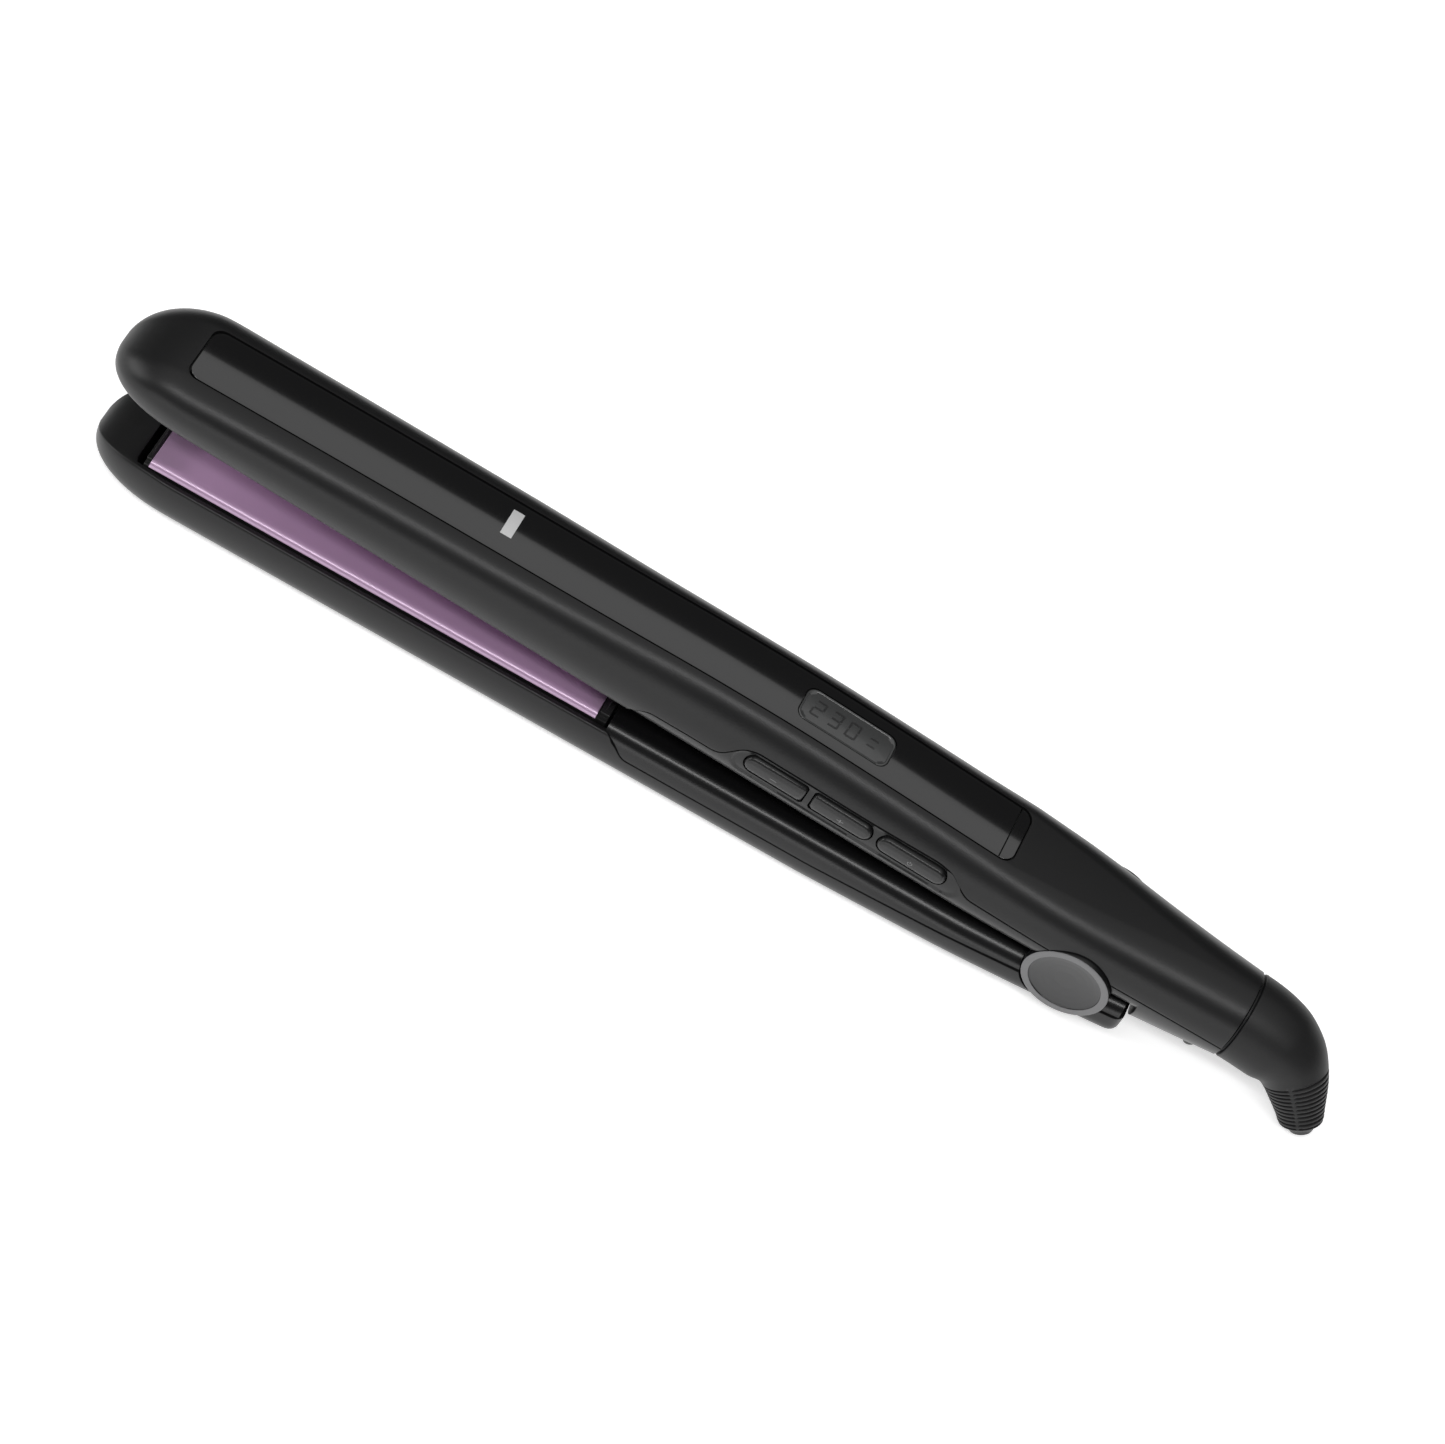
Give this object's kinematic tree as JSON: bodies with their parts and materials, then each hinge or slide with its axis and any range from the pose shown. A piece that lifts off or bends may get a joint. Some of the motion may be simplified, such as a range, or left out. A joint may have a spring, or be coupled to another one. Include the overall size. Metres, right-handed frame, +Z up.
{
  "type": "hair straightener",
  "caption": "Hair straightener with two long sprung arms, facing coated plates, a glossy top strip with a display, side buttons, a lock slider and a swivelling strain relief.",
  "frame": {"origin": "middle of the bounding box, on the surface that the lower arm lies on", "axes": "+X along the arms towards the strain relief, -Y towards the side with the buttons, +Z up"},
  "size_m": [0.307, 0.0302, 0.0426],
  "materials": {
    "soft_black": "soft-touch satin black",
    "satin_black": "satin black",
    "gloss_black": "polished black",
    "black_rubber": "dull black",
    "purple_plate": "smooth purple ceramic coating on aluminium",
    "heat_plastic": "dull black heat-resistant plastic",
    "grey_cap": "satin dark grey",
    "steel": "bright",
    "ceramic": "off-white ceramic",
    "display_grey": "grey display behind a clear front",
    "circuit_green": "green circuit board"
  },
  "bodies": {
    "lower_arm": {"lower_cover": "soft_black", "lower_inner_frame": "satin_black", "lower_float_spring_front": "steel", "lower_float_spring_rear": "steel", "lower_frame_screw_front": "steel", "lower_frame_screw_rear": "steel", "hinge_pin": "steel", "hinge_washer_left": "steel", "hinge_washer_right": "steel", "hinge_cap_left": "grey_cap", "hinge_cap_right": "grey_cap", "hinge_spring": "steel"},
    "lower_plate_float": {"lower_plate": "purple_plate", "lower_plate_carrier": "heat_plastic", "lower_heater": "ceramic", "lower_heater_clip": "steel", "thermal_fuse": "steel"},
    "upper_arm": {"upper_cover": "soft_black", "upper_inner_frame": "satin_black", "top_panel": "gloss_black", "panel_end_insert": "gloss_black", "display_window": "display_grey", "display_module": "display_grey", "control_board": "circuit_green", "power_board": "circuit_green", "switch_minus": "heat_plastic", "switch_plus": "heat_plastic", "switch_power": "heat_plastic", "upper_frame_screw_front": "steel", "upper_frame_screw_rear": "steel", "upper_float_spring_front": "steel", "upper_float_spring_rear": "steel", "swivel_washer": "steel", "lock_detent_spring": "steel"},
    "upper_plate_float": {"upper_plate": "purple_plate", "upper_plate_carrier": "heat_plastic", "upper_heater": "ceramic", "upper_heater_clip": "steel", "thermistor": "ceramic"},
    "minus_button": {"minus_button": "satin_black"},
    "plus_button": {"plus_button": "satin_black"},
    "power_button": {"power_button": "satin_black"},
    "cord_swivel": {"swivel_boot": "black_rubber", "swivel_core": "heat_plastic"},
    "lock_slider": {"lock_slider": "satin_black"}
  },
  "joints": [
    {"name": "arm_hinge", "type": "hinge", "parent": "lower_arm", "child": "upper_arm", "pos_m": [0.08885, 0.0001, 0.0157], "axis": [0, -1, 0], "range_deg": [0, 3.3], "stiffness_Nm_per_rad": 1.9, "springref_deg": -13.75},
    {"name": "lower_plate_float", "type": "slide", "parent": "lower_arm", "child": "lower_plate_float", "axis": [0, 0, -1], "range_m": [0, 0.0006], "stiffness_N_per_m": 3000, "springref_m": -0.002, "deforming": ["lower_float_spring_front", "lower_float_spring_rear"]},
    {"name": "upper_plate_float", "type": "slide", "parent": "upper_arm", "child": "upper_plate_float", "axis": [0.0576, 0, 0.9983], "range_m": [0, 0.0006], "stiffness_N_per_m": 3000, "springref_m": -0.002, "deforming": ["upper_float_spring_front", "upper_float_spring_rear"]},
    {"name": "minus_button_press", "type": "slide", "parent": "upper_arm", "child": "minus_button", "axis": [0, 1, 0], "range_m": [0, 0.0006], "stiffness_N_per_m": 900, "springref_m": -0.0015},
    {"name": "plus_button_press", "type": "slide", "parent": "upper_arm", "child": "plus_button", "axis": [0, 1, 0], "range_m": [0, 0.0006], "stiffness_N_per_m": 900, "springref_m": -0.0015},
    {"name": "power_button_press", "type": "slide", "parent": "upper_arm", "child": "power_button", "axis": [0, 1, 0], "range_m": [0, 0.0006], "stiffness_N_per_m": 900, "springref_m": -0.0015},
    {"name": "cord_swivel_turn", "type": "hinge", "parent": "upper_arm", "child": "cord_swivel", "pos_m": [0.12508, 0.0001, 0.01872], "axis": [0.9983, 0, -0.0576], "continuous": true},
    {"name": "lock_slide", "type": "slide", "parent": "upper_arm", "child": "lock_slider", "axis": [-0.9974, 0, -0.0716], "range_m": [0, 0.003]}
  ]
}
